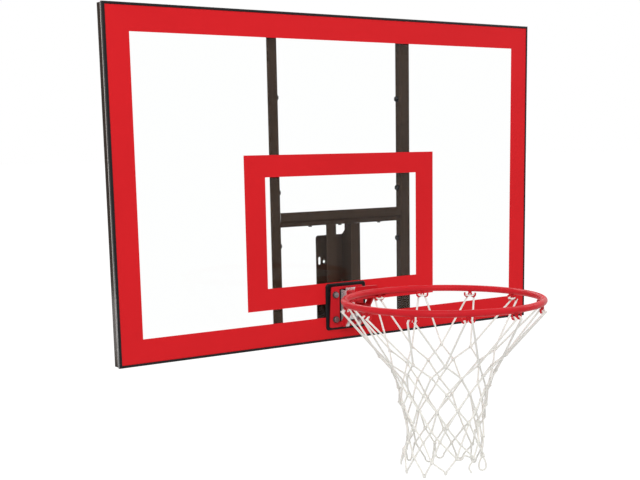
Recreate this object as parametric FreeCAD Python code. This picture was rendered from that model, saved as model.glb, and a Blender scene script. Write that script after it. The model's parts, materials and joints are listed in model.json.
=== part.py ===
"""Basketball backboard: framed clear board with a hinged breakaway rim and a net.

Everything is drawn in board coordinates, in millimetres: X to the right as a player
sees it, Y from the front of the board to the back, Z up, with zero at the middle of
the board's lower front edge. save() then moves each piece so that the part's origin
is the centre of the pole bolt holes on the back of the pole plate.
"""
import math
import os

import FreeCAD
import Part

Vector = FreeCAD.Vector

# Board outline and sheet
BOARD_WIDTH = 1321.0
BOARD_HEIGHT = 838.0
SHEET_THICKNESS = 4.0
SHEET_EDGE_CLEARANCE = 0.3

# Black edge trim that wraps the sheet's rim
TRIM_WALL = 1.5
TRIM_LIP = 6.0
TRIM_DEPTH = 9.0
TRIM_EDGE_RADIUS = 2.5

# Steel channel frame behind the sheet
FRAME_DEPTH = 29.5
FRAME_STEEL = 2.0
FRAME_FRONT_FLANGE = 25.0
FRAME_REAR_FLANGE = 13.0
FRAME_BEND_RADIUS = 5.0

# Corner plates on the back of the frame
CORNER_PLATE_ARM = 70.0
CORNER_PLATE_WIDTH = 12.0
CORNER_PLATE_STEEL = 2.0
CORNER_SCREW_SPACING = 26.0
CORNER_SCREW_FIRST = 24.0

# Printed bands on the front of the sheet
PRINT_THICKNESS = 0.2
PRINT_LIP_CLEARANCE = 0.3
BORDER_BAND = 64.0
TARGET_WIDTH = 607.0
TARGET_HEIGHT = 390.0
TARGET_BOTTOM = 100.0
TARGET_SIDE_BAND = 61.0
TARGET_CROSS_BAND = 55.0

# Upright angles behind the sheet
UPRIGHT_INNER_X = 194.5
UPRIGHT_FLANGE = 30.0
UPRIGHT_LEG = 21.0
UPRIGHT_STEEL = 3.0
UPRIGHT_BEND_RADIUS = 5.0
UPRIGHT_END_CLEARANCE = 1.0
UPRIGHT_SCREW_INSET = 15.0
UPRIGHT_SCREW_X = (13.0, 24.0)
ARM_BOLT_HEIGHTS = (259.0, 395.0, 631.0)
ARM_BOLT_DEPTH = 14.0

# Crossbar between the uprights, a stepped section
CROSSBAR_TOP = 344.0
CROSSBAR_UPPER_BAND = 22.0
CROSSBAR_LOWER_BAND = 15.0
CROSSBAR_STEP = 5.0
CROSSBAR_STEEL = 2.5
CROSSBAR_SETBACK = 0.5
CROSSBAR_SHELF_BACK = 32.0
CROSSBAR_SCREW_X = (-95.0, 0.0, 130.0)
CROSSBAR_SCREW_DEPTH = 24.0

# Centre angles that carry the rim and the pole plate
STRAP_INNER_X = 24.0
STRAP_FLANGE = 30.0
STRAP_STEEL = 3.0
STRAP_LEG_TOP = 28.5
STRAP_LEG_DEEP = 41.0
STRAP_LEG_SLOPE = 12.0
STRAP_LEG_BOTTOM = 34.0
STRAP_BOTTOM = 8.0
STRAP_TAB_WIDTH = 15.5
STRAP_BOLT_X = 9.4
STRAP_BOLT_DEPTH = 24.0

# Pole plate and its bolt holes
POLE_PLATE_WIDTH = 118.0
POLE_PLATE_TOP = 277.0
POLE_PLATE_BOTTOM = 34.0
POLE_PLATE_STEEL = 4.0
POLE_PLATE_CORNER = 8.0
POLE_HOLE_RADIUS = 4.5
POLE_HOLE_SPACING_X = 70.0
POLE_HOLE_SPACING_Z = 90.0
POLE_HOLES_CENTRE = 162.0
POLE_SLOT_X = 49.5
POLE_SLOT_RISE = 3.0
POLE_SLOT_LENGTH = 22.0

# Rim mount: spacer behind the sheet, black pad, red plate
SPACER_WIDTH = 116.0
SPACER_BOTTOM = 30.0
SPACER_TOP = 150.0
PAD_WIDTH = 130.0
PAD_BOTTOM = 29.0
PAD_TOP = 153.0
PAD_THICKNESS = 4.3
PAD_CORNER = 9.0
PAD_BEVEL = 3.0
MOUNT_BOTTOM = 36.0
MOUNT_TOP = 144.0
MOUNT_BOTTOM_WIDTH = 114.0
MOUNT_TOP_WIDTH = 100.0
MOUNT_STEEL = 4.0
MOUNT_CORNER = 5.0
MOUNT_WINDOW_WIDTH = 51.0
MOUNT_WINDOW_BOTTOM = 49.5
MOUNT_WINDOW_TOP = 137.0
RIM_BOLT_SPACING_X = 78.0
RIM_BOLT_LOWER = 57.5
RIM_BOLT_UPPER = 123.0

# Zinc hinge bracket inside the mount window
BRACKET_WIDTH = 36.0
BRACKET_STEEL = 3.0
BRACKET_REACH = 21.0
BRACKET_BOTTOM = 52.0
BRACKET_TOP = 134.5
BRACKET_WEB_BOTTOM = 56.0
BRACKET_WEB_TOP = 141.0
BRACKET_EAR_RADIUS = 10.0
BRACKET_NECK_CLEARANCE = 3.0

# Hinge pin
HINGE_REACH = 24.0
HINGE_HEIGHT = 48.0
HINGE_PIN_RADIUS = 5.0
HINGE_CLEARANCE = 0.05
HINGE_SIDE_GAP = 7.0
HINGE_SPACER_RADIUS = 8.0
HINGE_SPACER_LENGTH = 6.9
HINGE_HEAD_RADIUS = 8.0
HINGE_HEAD_LENGTH = 3.5
HINGE_END_PLAY = 0.3
HINGE_CLIP_RADIUS = 8.0
HINGE_CLIP_THICKNESS = 1.5
HINGE_CLIP_MOUTH = 7.6
HINGE_GROOVE_DEPTH = 0.75
HINGE_TAIL = 3.0

# Ring
RING_INNER_DIAMETER = 457.2
RING_ROD_RADIUS = 8.0
RING_HEIGHT = 144.0
RING_CENTRE_REACH = 396.0

# Rim bracket: bent plate with a back, a bend, a wing-shaped top and a lip across it
RIM_PLATE_STEEL = 5.0
RIM_BACK_WIDTH = 30.0
RIM_BACK_BOTTOM = 72.0
RIM_BEND_RADIUS = 9.0
RIM_WAIST_WIDTH = 70.0
RIM_WAIST_REACH = 72.0
RIM_WING_WIDTH = 196.0
RIM_WING_REACH = 160.0
RIM_WING_OVERLAP = 3.0
RIM_WING_CORNER = 6.0
RIM_LIP_WIDTH = 72.0
RIM_LIP_REACH = 87.0
RIM_LIP_RISE = 15.0
RIM_LIP_CORNER = 4.0
RIM_SLOT_WIDTH = 12.0
RIM_SLOT_BELOW = 6.5
RIM_SLOT_ABOVE = 13.5
RIM_SLOT_CORNER = 4.8

# Pivot arms from the hinge up to the rim bracket
ARM_THICKNESS = 5.0
ARM_WIDTH = 17.0
ARM_EAR_RADIUS = 9.0
ARM_TOP_REACH = 82.0

# Spring bolt and spring
SPRING_HEIGHT = 90.0
SPRING_BOLT_RADIUS = 5.0
SPRING_BOLT_CLEARANCE = 0.2
SPRING_BOLT_FLATS = 17.0
SPRING_BOLT_HEAD = 6.5
SPRING_BOLT_TAIL = 4.0
SPRING_LENGTH = 60.0
SPRING_WIRE = 6.0
SPRING_COIL_DIAMETER = 25.0
SPRING_TURNS = 3.5
SPRING_BLEND_ANGLE = 75.0
SPRING_BLEND_LENGTH = 10.0
SPRING_SEAT_GAP = 0.1
SPRING_WASHER_RADIUS = 15.5
SPRING_WASHER_THICKNESS = 2.5
SPRING_NUT_HEIGHT = 9.0
LEAST_SELF_GAP = 0.4
SELF_GAP_STEP = 1.5

# Net hooks under the ring
HOOK_COUNT = 12
HOOK_TURN = 2.5
HOOK_WIRE_RADIUS = 2.2
HOOK_ARCH_RADIUS = 3.0
HOOK_HORN_RADIUS = 5.5
HOOK_STEM = 2.3
HOOK_TIP = 4.5
HOOK_PLATE_GAP = 2.0

# Net: knot rows under the hooks, as drop below the ring's plane, radius and turn in degrees
NET_KNOT_ROWS = (
    (134.0, 150.0, 6.0), (166.0, 125.0, 7.0), (210.0, 107.0, 8.3), (251.0, 100.0, 10.7),
    (292.0, 94.0, 13.7), (334.0, 91.0, 17.2), (371.0, 97.0, 20.0), (407.0, 104.0, 22.0),
)
NET_STRAND_WIDTH = 5.0
NET_STRAND_THICKNESS = 4.0
NET_HOOK_GAP = 0.3

# Fasteners, as shank radius, head width across flats and head height
RIM_BOLT = (4.0, 13.0, 5.5)
ARM_BOLT = (4.0, 13.0, 5.5)
STRAP_BOLT = (3.0, 10.0, 4.0)
SHELF_SCREW = (2.5, 8.0, 3.5)
UPRIGHT_SCREW = (2.5, 8.0, 3.5)
CORNER_SCREW = (2.0, 7.0, 2.5)
WASHER_RADIUS = 9.0
WASHER_THICKNESS = 2.0
NUT_HEIGHT = 6.5
HEAD_TURN = Vector(0.3, 0.5, 0.8)
HEAD_CROWN_ANGLE = 30.0
HOLE_CLEARANCE = 0.5
THREAD_TAIL = 4.0

# How near two places are taken as one
SAME_PLACE = 0.001

# Planes that several pieces share
SHEET_FRONT = TRIM_WALL
SHEET_BACK = SHEET_FRONT + SHEET_THICKNESS
RAIL_FLANGE_BACK = SHEET_BACK + FRAME_STEEL
FRAME_BACK = SHEET_BACK + FRAME_DEPTH
PRINT_FRONT = SHEET_FRONT - PRINT_THICKNESS
PAD_FRONT = PRINT_FRONT - PAD_THICKNESS
MOUNT_FRONT = PAD_FRONT - MOUNT_STEEL
BRACKET_FRONT = PAD_FRONT - BRACKET_REACH
HINGE_Y = PAD_FRONT - HINGE_REACH
STRAP_FRONT = RAIL_FLANGE_BACK
STRAP_FLANGE_BACK = STRAP_FRONT + STRAP_STEEL
POLE_PLATE_FRONT = STRAP_FRONT + STRAP_LEG_DEEP
POLE_PLATE_BACK = POLE_PLATE_FRONT + POLE_PLATE_STEEL
CROSSBAR_BOTTOM = CROSSBAR_TOP - CROSSBAR_UPPER_BAND - CROSSBAR_LOWER_BAND
RIM_BACK_FRONT = BRACKET_FRONT - RIM_PLATE_STEEL
RIM_PLATE_TOP = RING_HEIGHT - RING_ROD_RADIUS
RIM_PLATE_UNDER = RIM_PLATE_TOP - RIM_PLATE_STEEL
RING_RADIUS = RING_INNER_DIAMETER / 2 + RING_ROD_RADIUS
RING_Y = -RING_CENTRE_REACH
ARM_INNER_X = BRACKET_WIDTH / 2 + HINGE_SIDE_GAP
ARM_OUTER_X = ARM_INNER_X + ARM_THICKNESS
HOOK_ARCH_DROP = RING_ROD_RADIUS + HOOK_WIRE_RADIUS + HOOK_ARCH_RADIUS
HOOK_HORN_DROP = HOOK_ARCH_DROP + HOOK_STEM
HOOK_HORN_X = HOOK_ARCH_RADIUS + HOOK_HORN_RADIUS
SPRING_BACK = RIM_BACK_FRONT - SPRING_SEAT_GAP
SPRING_FRONT = SPRING_BACK - SPRING_LENGTH
PART_ORIGIN = Vector(0, POLE_PLATE_BACK, POLE_HOLES_CENTRE)

RIM_BOLT_PLACES = [
    (side * RIM_BOLT_SPACING_X / 2, height)
    for side in (-1, 1)
    for height in (RIM_BOLT_LOWER, RIM_BOLT_UPPER)
]


def save(node, *solids):
    """Write one node, moved so that the part's origin is at the pole bolt holes."""
    shape = solids[0] if len(solids) == 1 else Part.makeCompound(list(solids))
    shape = shape.copy()
    shape.translate(-PART_ORIGIN)
    shape.exportStep(os.path.join("parts", node + ".step"))


def block(x, y, z):
    """A box from three (low, high) pairs."""
    size = [high - low for low, high in (x, y, z)]
    return Part.makeBox(*size, Vector(x[0], y[0], z[0]))


def prism(points, direction):
    """A polygon of 3-D points pushed along a direction."""
    face = Part.Face(Part.makePolygon(list(points) + [points[0]]))
    return face.extrude(direction)


def side_prism(outline, x):
    """A (Y, Z) outline pushed between two X values."""
    points = [Vector(x[0], across, up) for across, up in outline]
    return prism(points, Vector(x[1] - x[0], 0, 0))


def front_prism(outline, y):
    """An (X, Z) outline pushed between two Y values."""
    points = [Vector(across, y[0], up) for across, up in outline]
    return prism(points, Vector(0, y[1] - y[0], 0))


def flat_prism(outline, z):
    """An (X, Y) outline pushed between two Z values."""
    points = [Vector(across, along, z[0]) for across, along in outline]
    return prism(points, Vector(0, 0, z[1] - z[0]))


def rod(start, end, radius):
    axis = end - start
    return Part.makeCylinder(radius, axis.Length, start, axis)


def ring_of(start, end, outer, inner):
    return rod(start, end, outer).cut(rod(start, end, inner))


def hexagon(start, end, across_flats):
    """A hexagonal head or nut between two points on its axis, crowned at its end."""
    axis = end - start
    side = axis.cross(HEAD_TURN)
    side.normalize()
    other = axis.cross(side)
    other.normalize()
    corner = across_flats / math.sqrt(3)
    points = []
    for index in range(6):
        turn = math.radians(60 * index)
        points.append(start + side * (corner * math.cos(turn)) + other * (corner * math.sin(turn)))
    flare = axis.Length / math.tan(math.radians(HEAD_CROWN_ANGLE))
    crown = Part.makeCone(across_flats / 2 + flare, across_flats / 2, axis.Length, start, axis)
    return prism(points, axis).common(crown)


def mirrored(shape):
    return shape.mirror(Vector(0, 0, 0), Vector(1, 0, 0))


def rounded(shape, axis, radius):
    """Round a plate's corner edges that run along an axis."""
    edges = []
    for edge in shape.Edges:
        if isinstance(edge.Curve, Part.Line) and abs(edge.tangentAt(edge.FirstParameter).dot(axis)) > 0.999:
            edges.append(edge)
    return shape.makeFillet(radius, edges)


def edges_where(shape, wanted):
    """A shape's straight edges whose two ends both pass a test."""
    edges = []
    for edge in shape.Edges:
        if isinstance(edge.Curve, Part.Line) and all(wanted(vertex.Point) for vertex in edge.Vertexes):
            edges.append(edge)
    return edges


def same(first, second):
    return abs(first - second) < SAME_PLACE


def bent(shape, outer, inner, steel, radius):
    """Round a folded sheet's outer edges by the bend radius and its inner ones by what is left."""
    shape = shape.makeFillet(radius, edges_where(shape, outer))
    return shape.makeFillet(radius - steel, edges_where(shape, inner))


def bolt(seat, tip, fastener):
    """A hexagon bolt whose head stands on the seat, away from the tip."""
    shank_radius, flats, head = fastener
    axis = tip - seat
    axis.normalize()
    return rod(seat, tip, shank_radius).fuse(hexagon(seat, seat - axis * head, flats)).removeSplitter()


def nut(seat, axis, fastener, height):
    shank_radius, flats, _ = fastener
    end = seat + axis * height
    return hexagon(seat, end, flats).cut(rod(seat, end, shank_radius))


def bolt_holes(y, radius):
    """Cutters for the four rim bolts between two Y values."""
    return [rod(Vector(x, y[0], z), Vector(x, y[1], z), radius) for x, z in RIM_BOLT_PLACES]


def band_frame(width, height, bottom, side_band, cross_band, y):
    """A flat rectangular frame, centred on X."""
    half = width / 2
    outer = block((-half, half), y, (bottom, bottom + height))
    inside = half - side_band
    inner = block((-inside, inside), y, (bottom + cross_band, bottom + height - cross_band))
    return outer.cut(inner)


# Sheet and prints

def make_sheet():
    edge = TRIM_WALL + SHEET_EDGE_CLEARANCE
    half = BOARD_WIDTH / 2 - edge
    y = (SHEET_FRONT, SHEET_BACK)
    sheet = block((-half, half), y, (edge, BOARD_HEIGHT - edge))
    save("backboard_sheet", sheet.cut(bolt_holes(y, RIM_BOLT[0] + HOLE_CLEARANCE)))


def make_prints():
    y = (PRINT_FRONT, SHEET_FRONT)
    holes = bolt_holes(y, RIM_BOLT[0] + HOLE_CLEARANCE)
    margin = TRIM_LIP + PRINT_LIP_CLEARANCE
    band = BORDER_BAND - margin
    border = band_frame(BOARD_WIDTH - 2 * margin, BOARD_HEIGHT - 2 * margin, margin, band, band, y)
    save("border_print", border.cut(holes))
    target = band_frame(TARGET_WIDTH, TARGET_HEIGHT, TARGET_BOTTOM, TARGET_SIDE_BAND, TARGET_CROSS_BAND, y)
    save("target_print", target.cut(holes))


# Perimeter: trim and channel frame, each side mitred at the corners

def mitre(side):
    """The quarter of the board, seen from the front, that one side's pieces fill."""
    half = BOARD_WIDTH / 2
    reach = BOARD_HEIGHT / 2
    left_bottom, right_bottom = (-half, 0.0), (half, 0.0)
    left_top, right_top = (-half, BOARD_HEIGHT), (half, BOARD_HEIGHT)
    left_mid, right_mid = (-half + reach, reach), (half - reach, reach)
    outlines = {
        "bottom": (left_bottom, right_bottom, right_mid, left_mid),
        "top": (left_top, left_mid, right_mid, right_top),
        "left": (left_bottom, left_mid, left_top),
        "right": (right_bottom, right_top, right_mid),
    }
    return front_prism(outlines[side], (0.0, FRAME_BACK))


def frame_ring(inset_outer, inset_inner, y):
    """A closed rectangular ring between two insets from the board's edge."""
    band = inset_inner - inset_outer
    width = BOARD_WIDTH - 2 * inset_outer
    height = BOARD_HEIGHT - 2 * inset_outer
    return band_frame(width, height, inset_outer, band, band, y)


def on_ring(at, inset):
    """Whether a place lies on the rectangle at an inset from the board's edge."""
    across = BOARD_WIDTH / 2 - inset - abs(at.x)
    up = BOARD_HEIGHT / 2 - inset - abs(at.z - BOARD_HEIGHT / 2)
    return same(min(across, up), 0.0)


def make_perimeter():
    trim_wall = frame_ring(0.0, TRIM_WALL, (0.0, TRIM_DEPTH))
    trim_lip = frame_ring(0.0, TRIM_LIP, (0.0, SHEET_FRONT))
    trim = trim_wall.fuse(trim_lip).removeSplitter()
    front_edges = edges_where(trim, lambda at: same(at.y, 0.0) and on_ring(at, 0.0))
    trim = trim.makeFillet(TRIM_EDGE_RADIUS, front_edges)

    outer = TRIM_WALL
    front = frame_ring(outer, outer + FRAME_FRONT_FLANGE, (SHEET_BACK, RAIL_FLANGE_BACK))
    web = frame_ring(outer, outer + FRAME_STEEL, (SHEET_BACK, FRAME_BACK))
    rear = frame_ring(outer, outer + FRAME_REAR_FLANGE, (FRAME_BACK - FRAME_STEEL, FRAME_BACK))
    channel = front.fuse([web, rear]).removeSplitter()
    folded = outer + FRAME_STEEL
    for back, inner in ((SHEET_BACK, RAIL_FLANGE_BACK), (FRAME_BACK, FRAME_BACK - FRAME_STEEL)):
        channel = bent(channel, lambda at: same(at.y, back) and on_ring(at, outer),
                       lambda at: same(at.y, inner) and on_ring(at, folded), FRAME_STEEL, FRAME_BEND_RADIUS)
    screw_radius = CORNER_SCREW[0] + HOLE_CLEARANCE
    for x, z in corner_screw_places():
        inside, outside = Vector(x, FRAME_BACK - FRAME_STEEL, z), Vector(x, FRAME_BACK, z)
        channel = channel.cut(rod(inside, outside, screw_radius))
    screw_radius = UPRIGHT_SCREW[0] + HOLE_CLEARANCE
    for x, z in upright_screw_places():
        channel = channel.cut(rod(Vector(x, SHEET_BACK, z), Vector(x, RAIL_FLANGE_BACK, z), screw_radius))

    frame_names = {"bottom": "frame_bottom_rail", "top": "frame_top_rail",
                   "left": "frame_left_stile", "right": "frame_right_stile"}
    for side, frame_name in frame_names.items():
        wedge = mitre(side)
        save("edge_trim_" + side, trim.common(wedge).removeSplitter())
        save(frame_name, channel.common(wedge).removeSplitter())


def corner_screw_places():
    """Two screws along each arm of each corner plate."""
    middle = TRIM_WALL + (FRAME_BEND_RADIUS + FRAME_REAR_FLANGE) / 2
    along = [TRIM_WALL + CORNER_SCREW_FIRST + CORNER_SCREW_SPACING * index for index in range(2)]
    near = [(step, middle) for step in along] + [(middle, step) for step in along]
    places = []
    for side in (-1, 1):
        for top in (False, True):
            for x, z in near:
                places.append((side * (BOARD_WIDTH / 2 - x), BOARD_HEIGHT - z if top else z))
    return places


def make_corner_plates():
    outer = TRIM_WALL + FRAME_BEND_RADIUS
    width = CORNER_PLATE_WIDTH
    y = (FRAME_BACK, FRAME_BACK + CORNER_PLATE_STEEL)
    low, high = outer, outer + CORNER_PLATE_ARM
    outline = ((low, low), (high, low), (high, low + width), (low + width, low + width),
               (low + width, high), (low, high))
    plates = []
    for side in (-1, 1):
        for top in (False, True):
            corner = [(side * (BOARD_WIDTH / 2 - x), BOARD_HEIGHT - z if top else z) for x, z in outline]
            plates.append(front_prism(corner, y))
    screws = []
    holes = []
    for x, z in corner_screw_places():
        seat = Vector(x, y[1], z)
        screws.append(bolt(seat, Vector(x, FRAME_BACK - FRAME_STEEL - THREAD_TAIL, z), CORNER_SCREW))
        holes.append(rod(Vector(x, y[0], z), seat, CORNER_SCREW[0] + HOLE_CLEARANCE))
    save("corner_plates", *[plate.cut(holes) for plate in plates])
    save("corner_screws", *screws)


# Uprights and crossbar

def upright_screw_places():
    """Two screws through each end of each upright into the rails."""
    inset = TRIM_WALL + UPRIGHT_SCREW_INSET
    places = []
    for side in (-1, 1):
        for across in UPRIGHT_SCREW_X:
            x = side * (UPRIGHT_INNER_X + across)
            places.append((x, inset))
            places.append((x, BOARD_HEIGHT - inset))
    return places


def make_uprights():
    end = TRIM_WALL + FRAME_BEND_RADIUS + UPRIGHT_END_CLEARANCE
    z = (end, BOARD_HEIGHT - end)
    front, back = RAIL_FLANGE_BACK, RAIL_FLANGE_BACK + UPRIGHT_STEEL
    inner = UPRIGHT_INNER_X
    flange = block((inner, inner + UPRIGHT_FLANGE), (front, back), z)
    leg = block((inner, inner + UPRIGHT_STEEL), (front, front + UPRIGHT_LEG), z)
    angle = flange.fuse(leg).removeSplitter()
    angle = bent(angle, lambda at: same(at.x, inner) and same(at.y, front),
                 lambda at: same(at.x, inner + UPRIGHT_STEEL) and same(at.y, back),
                 UPRIGHT_STEEL, UPRIGHT_BEND_RADIUS)
    leg_depth = front + ARM_BOLT_DEPTH
    bolts, nuts, screws = [], [], []
    for height in ARM_BOLT_HEIGHTS:
        seat = Vector(inner, leg_depth, height)
        far = Vector(inner + UPRIGHT_STEEL, leg_depth, height)
        tip = far + Vector(NUT_HEIGHT + THREAD_TAIL, 0, 0)
        angle = angle.cut(rod(seat, far, ARM_BOLT[0] + HOLE_CLEARANCE))
        bolts.append(bolt(seat, tip, ARM_BOLT))
        nuts.append(nut(far, Vector(1, 0, 0), ARM_BOLT, NUT_HEIGHT))
    for x, z_screw in upright_screw_places():
        seat = Vector(x, back, z_screw)
        tip = Vector(x, SHEET_BACK, z_screw)
        screws.append(bolt(seat, tip, UPRIGHT_SCREW))
        if x > 0:
            angle = angle.cut(rod(tip, seat, UPRIGHT_SCREW[0] + HOLE_CLEARANCE))
    save("upright_right", angle)
    save("upright_left", mirrored(angle))
    save("arm_bolts", *bolts, *[mirrored(one) for one in bolts])
    save("arm_nuts", *nuts, *[mirrored(one) for one in nuts])
    save("upright_screws", *screws)


def make_crossbar():
    front = RAIL_FLANGE_BACK + CROSSBAR_SETBACK
    steel = CROSSBAR_STEEL
    step = CROSSBAR_STEP
    shoulder = CROSSBAR_TOP - CROSSBAR_UPPER_BAND
    bottom = CROSSBAR_BOTTOM
    outline = (
        (front, CROSSBAR_TOP), (front + steel, CROSSBAR_TOP),
        (front + steel, shoulder + step / 2), (front + step + steel, shoulder - step / 2),
        (front + step + steel, bottom + steel), (CROSSBAR_SHELF_BACK, bottom + steel),
        (CROSSBAR_SHELF_BACK, bottom), (front + step, bottom),
        (front + step, shoulder - step), (front, shoulder),
    )
    bar = side_prism(outline, (-UPRIGHT_INNER_X, UPRIGHT_INNER_X))
    screws = []
    for x in CROSSBAR_SCREW_X:
        seat = Vector(x, CROSSBAR_SCREW_DEPTH, bottom)
        tip = seat + Vector(0, 0, steel + THREAD_TAIL)
        bar = bar.cut(rod(seat, tip, SHELF_SCREW[0] + HOLE_CLEARANCE))
        screws.append(bolt(seat, tip, SHELF_SCREW))
    strap_bolts, strap_nuts = [], []
    for side in (-1, 1):
        x = side * (STRAP_INNER_X + STRAP_BOLT_X)
        seat = Vector(x, STRAP_BOLT_DEPTH, bottom + steel)
        under = Vector(x, STRAP_BOLT_DEPTH, bottom - STRAP_STEEL)
        tip = under - Vector(0, 0, NUT_HEIGHT + THREAD_TAIL)
        bar = bar.cut(rod(seat, under, STRAP_BOLT[0] + HOLE_CLEARANCE))
        strap_bolts.append(bolt(seat, tip, STRAP_BOLT))
        strap_nuts.append(nut(under, Vector(0, 0, -1), STRAP_BOLT, NUT_HEIGHT))
    save("crossbar", bar)
    save("crossbar_screws", *screws)
    save("strap_bolts", *strap_bolts)
    save("strap_nuts", *strap_nuts)


# Centre angles and pole plate

def make_straps():
    inner, outer = STRAP_INNER_X, STRAP_INNER_X + STRAP_FLANGE
    top = CROSSBAR_BOTTOM
    flange = block((inner, outer), (STRAP_FRONT, STRAP_FLANGE_BACK), (STRAP_BOTTOM, top))
    tab_x = (inner, inner + STRAP_TAB_WIDTH)
    tab = block(tab_x, (STRAP_FRONT, CROSSBAR_SHELF_BACK), (top - STRAP_STEEL, top))
    shallow = STRAP_FRONT + STRAP_LEG_TOP
    leg_outline = (
        (STRAP_FRONT, top), (shallow, top), (shallow, POLE_PLATE_TOP + STRAP_LEG_SLOPE),
        (POLE_PLATE_FRONT, POLE_PLATE_TOP), (POLE_PLATE_FRONT, STRAP_LEG_BOTTOM),
        (STRAP_FRONT, STRAP_LEG_BOTTOM),
    )
    leg = side_prism(leg_outline, (inner, inner + STRAP_STEEL))
    strap = flange.fuse([tab, leg]).removeSplitter()
    x = inner + STRAP_BOLT_X
    hole = STRAP_BOLT[0] + HOLE_CLEARANCE
    under, over = Vector(x, STRAP_BOLT_DEPTH, top - STRAP_STEEL), Vector(x, STRAP_BOLT_DEPTH, top)
    strap = strap.cut(rod(under, over, hole))
    strap = strap.cut(bolt_holes((STRAP_FRONT, STRAP_FLANGE_BACK), RIM_BOLT[0] + HOLE_CLEARANCE))
    save("centre_angle_right", strap)
    save("centre_angle_left", mirrored(strap))


def make_pole_plate():
    half = POLE_PLATE_WIDTH / 2
    y = (POLE_PLATE_FRONT, POLE_PLATE_BACK)
    plate = block((-half, half), y, (POLE_PLATE_BOTTOM, POLE_PLATE_TOP))
    plate = rounded(plate, Vector(0, 1, 0), POLE_PLATE_CORNER)
    cutters = []
    for side in (-1, 1):
        for end in (-1, 1):
            x = side * POLE_HOLE_SPACING_X / 2
            z = POLE_HOLES_CENTRE + end * POLE_HOLE_SPACING_Z / 2
            cutters.append(rod(Vector(x, y[0], z), Vector(x, y[1], z), POLE_HOLE_RADIUS))
            cutters.append(slot(side * POLE_SLOT_X, z + end * POLE_SLOT_RISE, y))
    save("pole_plate", plate.cut(cutters))


def slot(x, z, y):
    """Cutter for one upright slot in the pole plate."""
    reach = POLE_SLOT_LENGTH / 2 - POLE_HOLE_RADIUS
    middle = block((x - POLE_HOLE_RADIUS, x + POLE_HOLE_RADIUS), y, (z - reach, z + reach))
    ends = []
    for height in (z - reach, z + reach):
        ends.append(rod(Vector(x, y[0], height), Vector(x, y[1], height), POLE_HOLE_RADIUS))
    return middle.fuse(ends)


# Rim mount

def make_rim_mount():
    hole = RIM_BOLT[0] + HOLE_CLEARANCE
    half = SPACER_WIDTH / 2
    y = (SHEET_BACK, STRAP_FRONT)
    spacer = block((-half, half), y, (SPACER_BOTTOM, SPACER_TOP))
    save("rim_spacer", spacer.cut(bolt_holes(y, hole)))

    half = PAD_WIDTH / 2
    y = (PAD_FRONT, PRINT_FRONT)
    pad = rounded(block((-half, half), y, (PAD_BOTTOM, PAD_TOP)), Vector(0, 1, 0), PAD_CORNER)
    front_edges = [edge for edge in pad.Edges if all(same(vertex.Y, PAD_FRONT) for vertex in edge.Vertexes)]
    pad = pad.makeChamfer(PAD_BEVEL, front_edges)
    save("rim_backing_plate", pad.cut(bolt_holes(y, hole)))

    low, high = MOUNT_BOTTOM_WIDTH / 2, MOUNT_TOP_WIDTH / 2
    y = (MOUNT_FRONT, PAD_FRONT)
    outline = ((-low, MOUNT_BOTTOM), (low, MOUNT_BOTTOM), (high, MOUNT_TOP), (-high, MOUNT_TOP))
    plate = rounded(front_prism(outline, y), Vector(0, 1, 0), MOUNT_CORNER)
    half = MOUNT_WINDOW_WIDTH / 2
    window = block((-half, half), y, (MOUNT_WINDOW_BOTTOM, MOUNT_WINDOW_TOP))
    save("rim_mount_plate", plate.cut([window] + bolt_holes(y, hole)))

    bolts, washers, nuts = [], [], []
    forward = Vector(0, -1, 0)
    for x, z in RIM_BOLT_PLACES:
        face = Vector(x, MOUNT_FRONT, z)
        seat = face + forward * WASHER_THICKNESS
        back = Vector(x, STRAP_FLANGE_BACK, z)
        bolts.append(bolt(seat, back - forward * (NUT_HEIGHT + THREAD_TAIL), RIM_BOLT))
        washers.append(ring_of(face, seat, WASHER_RADIUS, hole))
        nuts.append(nut(back, Vector(0, 1, 0), RIM_BOLT, NUT_HEIGHT))
    save("rim_bolts", *bolts)
    save("rim_washers", *washers)
    save("rim_nuts", *nuts)


def make_hinge_bracket():
    half = BRACKET_WIDTH / 2
    inner = half - BRACKET_STEEL
    side = block((inner, half), (BRACKET_FRONT, PAD_FRONT), (BRACKET_BOTTOM, BRACKET_TOP))
    centre = Vector(inner, HINGE_Y, HINGE_HEIGHT)
    end = Vector(half, HINGE_Y, HINGE_HEIGHT)
    ear = rod(centre, end, BRACKET_EAR_RADIUS)
    neck_outline = (
        (HINGE_Y - BRACKET_EAR_RADIUS, HINGE_HEIGHT), (HINGE_Y + BRACKET_EAR_RADIUS, HINGE_HEIGHT),
        (HINGE_Y + BRACKET_EAR_RADIUS, BRACKET_BOTTOM), (BRACKET_FRONT + BRACKET_REACH / 2, BRACKET_BOTTOM),
        (BRACKET_FRONT, RIM_BACK_BOTTOM - BRACKET_NECK_CLEARANCE),
    )
    neck = side_prism(neck_outline, (inner, half))
    cheek = side.fuse([ear, neck])
    cheek = cheek.cut(rod(centre, end, HINGE_PIN_RADIUS + HINGE_CLEARANCE))
    web_y = (BRACKET_FRONT, BRACKET_FRONT + BRACKET_STEEL)
    web = block((-inner, inner), web_y, (BRACKET_WEB_BOTTOM, BRACKET_WEB_TOP))
    hole_start = Vector(0, web_y[0], SPRING_HEIGHT)
    hole_end = Vector(0, web_y[1], SPRING_HEIGHT)
    web = web.cut(rod(hole_start, hole_end, SPRING_BOLT_RADIUS + SPRING_BOLT_CLEARANCE))
    save("hinge_bracket", web.fuse([cheek, mirrored(cheek)]).removeSplitter())


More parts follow.
